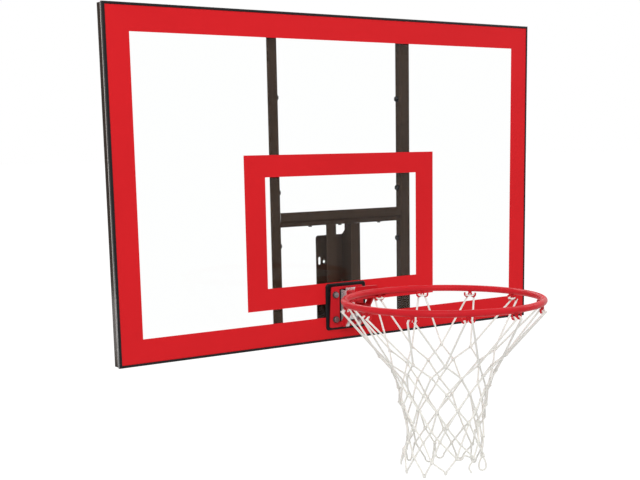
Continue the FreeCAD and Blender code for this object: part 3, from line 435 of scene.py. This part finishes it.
def satin_plastic(name, colour, rough, gloss):
    """Moulded plastic: a fine grain, faint clouding and paler edges: wear and a painted highlight."""
    material, tree, shader = new_material(name)
    soft, wear_and_highlight_mask = eased_edges(tree, radius=0.0007)
    shade = clouded(tree, noise(tree, scale=25.0, detail=4.0), colour, dark=0.85, light=1.15)
    # Painted highlight with some wear: edges paler by a share.
    wear_and_highlight_share = combine(tree, "MULTIPLY", wear_and_highlight_mask, PLASTIC_WEAR_AND_HIGHLIGHT)
    put(tree, shader, "Base Color", mix(tree, wear_and_highlight_share, shade, tint(colour, factor=1.8)))
    smudge = noise(tree, scale=80.0, detail=4.0)
    put(tree, shader, "Roughness", spread(tree, smudge, low=rough - 0.05, high=rough + 0.06))
    grain = noise(tree, scale=900.0, detail=2.0)
    put(tree, shader, "Normal", bump(tree, grain, depth=0.00002, normal=soft))
    shader.inputs["Specular IOR Level"].default_value = gloss
    return material


def zinc_plate(name, colour, rough=0.24, metal=0.5):
    """Bright zinc plating with a fine crystal pattern, soft clouding and a faint tint."""
    material, tree, shader = new_material(name)
    soft, wear_and_highlight_mask = eased_edges(tree, radius=0.0006)
    shader.inputs["Metallic"].default_value = metal
    clouds = spread(tree, noise(tree, scale=45.0, detail=5.0, rough=0.6))
    shade = mix(tree, clouds, shift(colour, ZINC_WARM), shift(colour, ZINC_COOL))
    # Painted highlight with some wear: edges lighter by a share.
    wear_and_highlight_share = combine(tree, "MULTIPLY", wear_and_highlight_mask, ZINC_WEAR_AND_HIGHLIGHT)
    put(tree, shader, "Base Color", mix(tree, wear_and_highlight_share, shade, tint(colour, factor=1.2)))
    crystals = add(tree, "ShaderNodeTexVoronoi", Scale=650.0, Vector=place(tree)).outputs["Color"]
    uneven = spread(tree, crystals, low=rough - 0.06, high=rough + 0.12, start=0.0, end=1.0)
    put(tree, shader, "Roughness", uneven)
    grain = noise(tree, scale=700.0, detail=3.0)
    put(tree, shader, "Normal", bump(tree, grain, depth=0.00002, normal=soft))
    return material


def braided_cord(name, colour):
    """White braided cord: crossed strands, painted shade in the hollows and on the net's inward-facing
    side.
    """
    material, tree, shader = new_material(name)
    along = add(tree, "ShaderNodeUVMap", {"uv_map": "cord"}).outputs["UV"]
    parts = add(tree, "ShaderNodeSeparateXYZ", Vector=along)
    around = combine(tree, "MULTIPLY", parts.outputs["X"], FULL_TURN * BRAID_STRANDS)
    down = combine(tree, "MULTIPLY", parts.outputs["Y"], FULL_TURN / BRAID_PITCH)
    waves = []
    for operation in ("ADD", "SUBTRACT"):
        waves.append(combine(tree, "SINE", combine(tree, operation, around, down)))
    height = spread(tree, combine(tree, "MAXIMUM", *waves), start=-0.6, end=1.0)
    grime = noise(tree, scale=28.0, detail=4.0, rough=0.6)
    clean = clouded(tree, grime, colour, dark=0.94, light=1.05)
    # Painted shade: the braid's hollows are darker.
    shade = mix(tree, height, tint(colour, factor=0.90), clean)
    # Painted shade: cord surfaces that face the ring's axis are darker.
    outward = vector_math(tree, "SUBTRACT", place(tree), RING_CENTRE)["Vector"]
    level = vector_math(tree, "MULTIPLY", outward, (1.0, 1.0, 0.0))["Vector"]
    unit = vector_math(tree, "NORMALIZE", level)["Vector"]
    facing = vector_math(tree, "DOT_PRODUCT", unit, surface_normal(tree))["Value"]
    inside = spread(tree, facing, low=1.0, high=0.0, start=-0.5, end=0.5)
    put(tree, shader, "Base Color", mix(tree, inside, shade, tint(colour, CORD_INNER_SHADE)))
    shader.inputs["Roughness"].default_value = CORD_ROUGHNESS
    shader.inputs["Sheen Weight"].default_value = CORD_SHEEN
    put(tree, shader, "Normal", bump(tree, height, BRAID_DEPTH))
    return material


# Meshes

def mesh_piece(name, build, material, body=None, smooth=True):
    """An object whose mesh a function fills, with one material, riding on a body."""
    mesh = bpy.data.meshes.new(name)
    data = bmesh.new()
    build(data)
    data.to_mesh(mesh)
    data.free()
    for face in mesh.polygons:
        face.use_smooth = smooth
    mesh.materials.append(material)
    piece = bpy.data.objects.new(name, mesh)
    bpy.context.scene.collection.objects.link(piece)
    if body:
        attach(piece, body)
    return piece


def smooth_path(points, steps):
    """Points on a Catmull-Rom curve through the given points."""
    line = []
    for index in range(len(points) - 1):
        b, c = points[index], points[index + 1]
        a = points[index - 1] if index > 0 else b * 2 - c
        d = points[index + 2] if index + 2 < len(points) else c * 2 - b
        for step in range(steps):
            t = step / steps
            line.append(
                0.5 * (2 * b + (c - a) * t + (2 * a - 5 * b + 4 * c - d) * t * t
                       + (3 * b - a - 3 * c + d) * t ** 3)
            )
    line.append(points[-1].copy())
    return line


def tube(data, line, radius, sides, closed=False, swell=None):
    """A tube along a line; its UV map has turns around and metres along, and swell scales its radius."""
    layer = data.loops.layers.uv.get("cord") or data.loops.layers.uv.new("cord")
    count = len(line)
    tangents = []
    for index in range(count):
        before = line[index - 1] if closed or index > 0 else line[0]
        after = line[(index + 1) % count] if closed or index + 1 < count else line[-1]
        tangents.append((after - before).normalized())
    side = tangents[0].orthogonal().normalized()
    rings, lengths, travelled = [], [], 0.0
    for index, (point, tangent) in enumerate(zip(line, tangents)):
        if index:
            travelled += (point - line[index - 1]).length
            side = (side - tangent * side.dot(tangent)).normalized()
        other = tangent.cross(side)
        size = radius * (swell(travelled) if swell else 1.0)
        ring = []
        for corner in range(sides):
            turn = FULL_TURN * corner / sides
            out = side * (size * math.cos(turn)) + other * (size * math.sin(turn))
            ring.append(data.verts.new(point + out))
        rings.append(ring)
        lengths.append(travelled)
    spans = count if closed else count - 1
    for index in range(spans):
        here, there = rings[index], rings[(index + 1) % count]
        start = lengths[index]
        end = lengths[index + 1] if index + 1 < count else travelled + (line[0] - line[-1]).length
        for corner in range(sides):
            after = (corner + 1) % sides
            face = data.faces.new((here[corner], here[after], there[after], there[corner]))
            left = corner / sides
            right = (corner + 1) / sides
            for loop, uv in zip(face.loops, ((left, start), (right, start), (right, end), (left, end))):
                loop[layer].uv = uv
    if not closed:
        data.faces.new(list(reversed(rings[0])))
        data.faces.new(rings[-1])


def ring_point(turn, radius, drop, across=0.0):
    """A point by its turn round the ring, radius and drop, moved sideways along the ring."""
    outward = Vector((math.cos(turn), math.sin(turn), 0.0))
    sideways = Vector((-math.sin(turn), math.cos(turn), 0.0))
    return RING_CENTRE + outward * radius + sideways * across - Vector((0, 0, drop))


def hook_turn(index):
    """A hook's turn round the ring."""
    return FIRST_HOOK_TURN + HOOK_STEP * index


def solid_boxes(node):
    """The (low, high) corners of each separate solid in a CAD node."""
    mesh = frame["nodes"][node].data
    keys = [tuple(round(value, MERGE_DIGITS) for value in vertex.co) for vertex in mesh.vertices]
    parent = {key: key for key in keys}

    def root(key):
        while parent[key] != key:
            parent[key] = parent[parent[key]]
            key = parent[key]
        return key

    for face in mesh.polygons:
        first = root(keys[face.vertices[0]])
        for index in face.vertices[1:]:
            parent[root(keys[index])] = first
    groups = {}
    for key in parent:
        groups.setdefault(root(key), []).append(key)
    boxes = []
    for points in groups.values():
        columns = list(zip(*points))
        low = Vector([min(column) for column in columns])
        high = Vector([max(column) for column in columns])
        boxes.append((low, high))
    return boxes


# Net

def hook_loop(index):
    """The cord over one hook: up outside, in over one horn, across inside, and out over the other."""
    turn = hook_turn(index)

    def side(way, route):
        points = []
        for reach, drop, share in route:
            points.append(ring_point(turn, RING_RADIUS + reach, drop, way * HORN_OFFSET * share))
        return points

    return side(-1, HOOK_ROUTE) + list(reversed(side(1, HOOK_ROUTE[:-1])))


def net_knots():
    """Knot places by row and column of half meshes: uneven and twisted."""
    draw = random.Random(NET_SEED)
    first_drop, last_drop = NET_ROWS[0][0], NET_ROWS[-1][0]
    knots = {}
    for row, (drop, radius, turned) in enumerate(NET_ROWS, start=1):
        depth = (drop - first_drop) / (last_drop - first_drop)
        loose = KNOT_JITTER * (KNOT_JITTER_AT_TOP + depth)
        for index in range(HOOK_COUNT):
            column = 2 * index + row % 2
            turn = HOOK_STEP / 2 * column + math.radians(turned)
            reach = radius + draw.gauss(0, loose)
            fall = drop + draw.gauss(0, loose)
            point = ring_point(turn, reach, fall, draw.gauss(0, loose))
            if row == len(NET_ROWS):
                sideways, hang = TIP_SHIFTS.get(index, (0.0, 0.0))
                point += FRONT_ASIDE * sideways - UP * hang
            knots[row, column % (2 * HOOK_COUNT)] = point
    return knots


def outward_at(point):
    """The level direction from the ring's axis to a point."""
    outward = point - RING_CENTRE
    outward.z = 0
    return outward.normalized()


def tip_size(column):
    """Half width and rise of the bottom tip in a column."""
    return TIP_POINTED if column // 2 in TIP_POINTED_PLACES else TIP_ROUND


def loop_top(knots):
    """Where the teardrop loop is knotted, under the crossing between the two undone tips."""
    return knots[len(NET_ROWS) - 1, 2 * UNDONE_PLACES[0] + 1] - UP * LOOP_DROP


def strand_end(knots, column, way):
    """A strand's last points: its side of a tip, the loop's knot, or a loose end."""
    last = len(NET_ROWS)
    if column // 2 not in UNDONE_PLACES:
        knot = knots[last, column]
        half, rise = tip_size(column)
        return [knot + UP * rise + outward_at(knot).cross(UP) * (way * half)]
    if column // 2 == UNDONE_PLACES[0] and way > 0:
        above = knots[last - 1, column - 1]
        return [above + FRONT_ASIDE * across - UP * fall for across, fall in TAIL_ROUTE]
    return [loop_top(knots)]


def strand(knots, index, way, start):
    """One leg's points from the hook down: half a mesh sideways at each row, kinked at each knot."""
    last = len(NET_ROWS)
    places = [start]
    for row in range(1, last):
        knot = knots[row, (2 * index + way * row) % (2 * HOOK_COUNT)]
        over = way if row % 2 else -way
        places.append(knot + outward_at(knot) * (over * CORD_RADIUS * CROSSING_SHARE))
    places += strand_end(knots, (2 * index + way * last) % (2 * HOOK_COUNT), way)
    points = [start]
    for before, here in zip(places, places[1:]):
        length = (here - before).length
        if length > KINK_ROOM * KNOT_KINK:
            near = KNOT_KINK / length
            points += [before.lerp(here, near), before.lerp(here, 1 - near)]
        points.append(here)
    return points


def knot_turn(data, knot, draw):
    """A turn of cord drawn tight round a crossing."""
    outward = outward_at(knot)
    along = Quaternion(outward, draw.uniform(-KNOT_TILT, KNOT_TILT)) @ UP
    across = outward.cross(along)
    line = []
    for step in range(KNOT_STEPS):
        turn = FULL_TURN * step / KNOT_STEPS
        out = outward * (KNOT_OUT * math.cos(turn))
        aside = across * (KNOT_ACROSS * math.sin(turn))
        line.append(knot + out + aside + along * (KNOT_ALONG * math.sin(2 * turn)))
    tube(data, line, CORD_RADIUS * KNOT_CORD_SHARE, CORD_SIDES, closed=True)


def net_tip(data, knot, column):
    """A bottom tip: the turn from one strand's end to the other's."""
    half, rise = tip_size(column)
    aside = outward_at(knot).cross(UP)
    line = []
    for step in range(TIP_STEPS + 1):
        turn = math.pi * step / TIP_STEPS
        line.append(knot + UP * (rise * (1 - math.sin(turn))) - aside * (half * math.cos(turn)))
    tube(data, line, CORD_RADIUS * TIP_CORD_SHARE, CORD_SIDES)


def net_loop(data, top):
    """The teardrop loop that hangs from its knot."""
    line = []
    for step in range(2 * TIP_STEPS + 1):
        turn = math.pi * step / TIP_STEPS
        across = LOOP_WIDTH * math.sin(turn) * math.sin(turn / 2)
        line.append(top + FRONT_ASIDE * across - UP * (LOOP_LENGTH * (1 - math.cos(turn)) / 2))
    tube(data, line, CORD_RADIUS * TIP_CORD_SHARE, CORD_SIDES)


def build_net(data):
    """Twelve cords, each over one hook with a leg each way, then the knots, tips and loop."""
    knots = net_knots()
    draw = random.Random(KNOT_SEED)
    for index in range(HOOK_COUNT):
        loop = hook_loop(index)
        left = strand(knots, index, -1, loop[0])
        right = strand(knots, index, 1, loop[-1])
        points = list(reversed(left)) + loop[1:-1] + right
        tube(data, smooth_path(points, CORD_STEPS), CORD_RADIUS, CORD_SIDES)
    for (row, column), knot in knots.items():
        if row < len(NET_ROWS):
            knot_turn(data, knot, draw)
        elif column // 2 not in UNDONE_PLACES:
            net_tip(data, knot, column)
    knot_turn(data, loop_top(knots), draw)
    net_loop(data, loop_top(knots))


# Spring, threads, welds and gasket

def build_spring(data):
    """A coil with a closed turn at each end, from the front washer to the rim bracket."""
    radius = (spring_high.x - spring_low.x) / 2 - SPRING_WIRE_RADIUS
    front = spring_low.y + SPRING_WIRE_RADIUS
    back = spring_high.y - SPRING_WIRE_RADIUS
    dead = SPRING_DEAD_TURNS / SPRING_TURNS
    rise = 2 * SPRING_WIRE_RADIUS * SPRING_DEAD_TURNS / (back - front)
    steps = int(SPRING_TURNS * SPRING_STEPS)
    line = []
    for step in range(steps + 1):
        share = step / steps
        if share < dead:
            travel = rise * share / dead
        elif share > 1 - dead:
            travel = 1 - rise * (1 - share) / dead
        else:
            travel = rise + (1 - 2 * rise) * (share - dead) / (1 - 2 * dead)
        turn = FULL_TURN * SPRING_TURNS * share
        y = front + (back - front) * travel
        line.append(Vector((radius * math.sin(turn), y, SPRING_Z + radius * math.cos(turn))))
    tube(data, line, SPRING_WIRE_RADIUS, SPRING_SIDES)


def thread(data, tip, inward, radius):
    """A screw thread on a bolt's bare end."""
    side = inward.orthogonal().normalized()
    other = inward.cross(side)
    turns = THREAD_TAIL / THREAD_PITCH
    line = []
    for step in range(int(THREAD_STEPS * turns) + 1):
        turn = FULL_TURN * step / THREAD_STEPS
        travel = THREAD_PITCH * (THREAD_START + step / THREAD_STEPS)
        line.append(tip + inward * travel + (side * math.cos(turn) + other * math.sin(turn)) * radius)
    tube(data, line, THREAD_RIDGE, THREAD_SIDES)


def build_black_threads(data):
    """Threads on the arm bolts, which end at the sides, and on the strap bolts, which end below."""
    for low, high in solid_boxes("arm_bolts"):
        middle = (low + high) / 2
        outer = high.x if middle.x > 0 else low.x
        inward = Vector((-math.copysign(1, outer), 0, 0))
        thread(data, Vector((outer, middle.y, middle.z)), inward, BOLT_RADIUS)
    for low, high in solid_boxes("strap_bolts"):
        middle = (low + high) / 2
        thread(data, Vector((middle.x, middle.y, low.z)), UP, STRAP_BOLT_RADIUS)


def build_zinc_threads(data):
    """Threads on the rim bolts, which end behind the board."""
    for low, high in solid_boxes("rim_bolts"):
        middle = (low + high) / 2
        thread(data, Vector((middle.x, high.y, middle.z)), Vector((0, -1, 0)), BOLT_RADIUS)


def build_spring_thread(data):
    """The thread on the spring bolt, which ends in front."""
    low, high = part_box("spring_bolt")
    middle = (low + high) / 2
    thread(data, Vector((middle.x, low.y, middle.z)), Vector((0, 1, 0)), SPRING_BOLT_RADIUS)


def ripple(travelled):
    """The swelling of a weld bead along its length."""
    return 1.0 + WELD_SWELL * math.sin(FULL_TURN * travelled / WELD_RIPPLE)


def bead(data, start, end, radius, steps=WELD_STEPS):
    """A straight weld bead with rounded, tapering ends."""
    length = (end - start).length

    def swell(travelled):
        share = min(travelled, length - travelled) / (2 * radius)
        return ripple(travelled) * math.sqrt(max(WELD_END, min(1.0, share)))

    line = [start.lerp(end, step / steps) for step in range(steps + 1)]
    tube(data, line, radius, WELD_SIDES, swell=swell)


def build_welds(data):
    """Beads where the ring, the lip and the arms meet the plate, and where the hooks meet the ring."""
    plate_top = RING_CENTRE.z - ROD_RADIUS
    arc = []
    for step in range(RING_WELD_STEPS + 1):
        turn = math.pi / 2 + RING_WELD_SPAN * (2 * step / RING_WELD_STEPS - 1)
        point = ring_point(turn, RING_RADIUS + RING_WELD_OUT, 0.0)
        arc.append(Vector((point.x, point.y, plate_top + WELD_RADIUS * RING_WELD_PROUD)))
    tube(data, arc, WELD_RADIUS, WELD_SIDES, swell=ripple)
    proud = WELD_RADIUS * LIP_WELD_PROUD
    for y in (LIP_FRONT - proud, LIP_FRONT + RIM_PLATE_STEEL + proud):
        ends = [Vector((x, y, plate_top + proud)) for x in (-LIP_WELD_HALF, LIP_WELD_HALF)]
        bead(data, *ends, WELD_RADIUS * LIP_WELD_SHARE, steps=LIP_WELD_STEPS)
    proud = WELD_RADIUS * ARM_WELD_PROUD
    under = plate_top - RIM_PLATE_STEEL - proud
    for node in ("pivot_arm_left", "pivot_arm_right"):
        low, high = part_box(node)
        for x in (low.x - proud, high.x + proud):
            ends = [Vector((x, y, under)) for y in (low.y, low.y + ARM_WELD_LENGTH)]
            bead(data, *ends, WELD_RADIUS)
    drop = ROD_RADIUS + HOOK_WELD_RADIUS * HOOK_WELD_PROUD - HOOK_WELD_RISE
    for index in range(HOOK_COUNT):
        turn = hook_turn(index)
        for out in (-1, 1):
            radius = RING_RADIUS + out * HOOK_WELD_RADIUS * HOOK_WELD_APART
            ends = [ring_point(turn, radius, drop, side * HOOK_WELD_HALF) for side in (-1, 1)]
            bead(data, *ends, HOOK_WELD_RADIUS, steps=HOOK_WELD_STEPS)


def build_highlight_bead(data):
    """A pale bead on the frame along the trim's rear edge, on all four sides: a painted highlight."""
    inset = HIGHLIGHT_BEAD_RADIUS - HIGHLIGHT_BEAD_PROUD
    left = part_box("frame_left_stile")[0].x + inset
    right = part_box("frame_right_stile")[1].x - inset
    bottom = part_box("frame_bottom_rail")[0].z + inset
    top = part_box("frame_top_rail")[1].z - inset
    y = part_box("edge_trim_left")[1].y + HIGHLIGHT_BEAD_RADIUS
    places = ((left, bottom), (right, bottom), (right, top), (left, top))
    corners = [Vector((x, y, z)) for x, z in places]
    for here, there in zip(corners, corners[1:] + corners[:1]):
        tube(data, [here, there], HIGHLIGHT_BEAD_RADIUS, HIGHLIGHT_BEAD_SIDES)


# Stage, light and camera

def make_stage():
    """A pale floor that keeps the shadow and looks white in gloss and through the sheet."""
    floor_z = cad_box[0].z - FLOOR_DROP
    half = FLOOR_SIZE / 2
    material, tree, shader = new_material("floor")
    shader.inputs["Base Color"].default_value = FLOOR_COLOUR
    shader.inputs["Roughness"].default_value = FLOOR_ROUGHNESS
    shader.inputs["Specular IOR Level"].default_value = 0.0
    lift = add(tree, "ShaderNodeEmission", Color=WHITE)
    away = vector_math(tree, "LENGTH", place(tree))["Value"]
    level = spread(tree, away, *FLOOR_GLOW, *FLOOR_GLOW_REACH)
    rays = add(tree, "ShaderNodeLightPath")
    put(tree, lift, "Strength", combine(tree, "MULTIPLY", rays.outputs["Is Camera Ray"], level))
    both = add(tree, "ShaderNodeAddShader")
    put(tree, both, 0, shader.outputs["BSDF"])
    put(tree, both, 1, lift.outputs["Emission"])
    glow = add(tree, "ShaderNodeEmission", Color=WHITE, Strength=1.0)
    names = ("Is Glossy Ray", "Is Transmission Ray")
    split_by_rays(tree, names, both.outputs["Shader"], glow.outputs["Emission"], "Material Output")

    def corners(data):
        places = ((-half, -half), (half, -half), (half, half), (-half, half))
        data.faces.new([data.verts.new((x, y, floor_z)) for x, y in places])

    floor = mesh_piece("floor", corners, material, smooth=False)


def make_world():
    """A soft white world, seen at full white by the camera, in gloss and through the sheet."""
    world = bpy.data.worlds.new("studio")
    bpy.context.scene.world = world
    world.use_nodes = True
    tree = world.node_tree
    plain = tree.nodes["Background"]
    plain.inputs["Color"].default_value = WHITE
    plain.inputs["Strength"].default_value = WORLD_STRENGTH
    white = add(tree, "ShaderNodeBackground", Color=WHITE, Strength=1.0)
    names = ("Is Camera Ray", "Is Glossy Ray", "Is Transmission Ray")
    split_by_rays(tree, names, plain.outputs["Background"], white.outputs["Background"], "World Output")


def area_light(name, place_at, aim, size, power):
    """A lamp with a rectangular face, turned to a point."""
    lamp = bpy.data.lights.new(name, "AREA")
    lamp.shape = "RECTANGLE"
    lamp.size, lamp.size_y = size
    lamp.energy = power
    light = bpy.data.objects.new(name, lamp)
    light.location = place_at
    light.rotation_euler = (Vector(aim) - Vector(place_at)).to_track_quat("-Z", "Y").to_euler()
    bpy.context.scene.collection.objects.link(light)


def make_camera():
    """The camera at the photograph's angle."""
    data = bpy.data.cameras.new("camera")
    data.lens = CAMERA_LENS
    data.sensor_width = CAMERA_SENSOR
    data.shift_x, data.shift_y = CAMERA_SHIFT
    camera = bpy.data.objects.new("camera", data)
    look = (CAMERA_AIM - CAMERA_PLACE).to_track_quat("-Z", "Y")
    turn = look @ Quaternion((0, 0, 1), CAMERA_ROLL)
    camera.matrix_world = Matrix.Translation(CAMERA_PLACE) @ turn.to_matrix().to_4x4()
    bpy.context.scene.collection.objects.link(camera)
    bpy.context.scene.camera = camera


# Build

bpy.context.scene.view_settings.view_transform = "Standard"
make_stage()
make_world()
for lamp_name, lamp_facts in LAMPS.items():
    area_light(lamp_name, *lamp_facts)
make_camera()

FINISHES = {
    "clear_sheet": clear_sheet("clear_sheet"),
    "print_red": printed_ink("print_red", RED_INK),
    "edge_trim": satin_plastic("edge_trim", TRIM_DARK, rough=0.30, gloss=0.16),
    # Frame edges three times lighter: a painted highlight along the edges.
    "frame_paint": powder_coat("frame_paint", FRAME_BROWN, rough=0.18, gloss=0.02, edge=3.0),
    "rim_paint": powder_coat("rim_paint", RIM_RED, **RIM_COAT),
    "black_paint": powder_coat("black_paint", BLACK, rough=0.34, gloss=0.12),
    "zinc": zinc_plate("zinc", ZINC),
    "spring_steel": powder_coat("spring_steel", RIM_RED, **RIM_COAT),
    "nylon": satin_plastic("nylon", NYLON, rough=0.45, gloss=0.4),
    "net_cord": braided_cord("net_cord", CORD_WHITE),
}
# Painted shade: darker copies of the zinc for the rim bolts, washers and nuts.
SHADED_ZINC = {}
for node, factor in SHADED_ZINC_TINTS.items():
    SHADED_ZINC[node] = zinc_plate("zinc_" + node, tint(ZINC, factor), rough=0.30, metal=0.8)
for entry in frame["record"]["subparts"]:
    mesh = frame["nodes"][entry["node"]].data
    mesh.materials.clear()
    mesh.materials.append(SHADED_ZINC.get(entry["node"]) or FINISHES[entry["material_slot"]])

net = mesh_piece("net_cords", build_net, FINISHES["net_cord"])
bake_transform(net)
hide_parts("net")

spring = mesh_piece("spring_coil", build_spring, FINISHES["spring_steel"])
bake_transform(spring)
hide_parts("breakaway_spring")

# Painted highlight: a pale bead along the trim's rear edge.
highlight_bead_finish = satin_plastic("trim_highlight_bead", HIGHLIGHT_BEAD_PALE, rough=0.40, gloss=0.2)
mesh_piece("trim_highlight_bead", build_highlight_bead, highlight_bead_finish, "board")
mesh_piece("black_threads", build_black_threads, FINISHES["black_paint"], "board")
# The rim bolts' threads share their darker zinc: painted shade.
mesh_piece("zinc_threads", build_zinc_threads, SHADED_ZINC["rim_bolts"], "board")
mesh_piece("spring_thread", build_spring_thread, FINISHES["rim_paint"], "board")
mesh_piece("rim_welds", build_welds, FINISHES["rim_paint"], "rim")
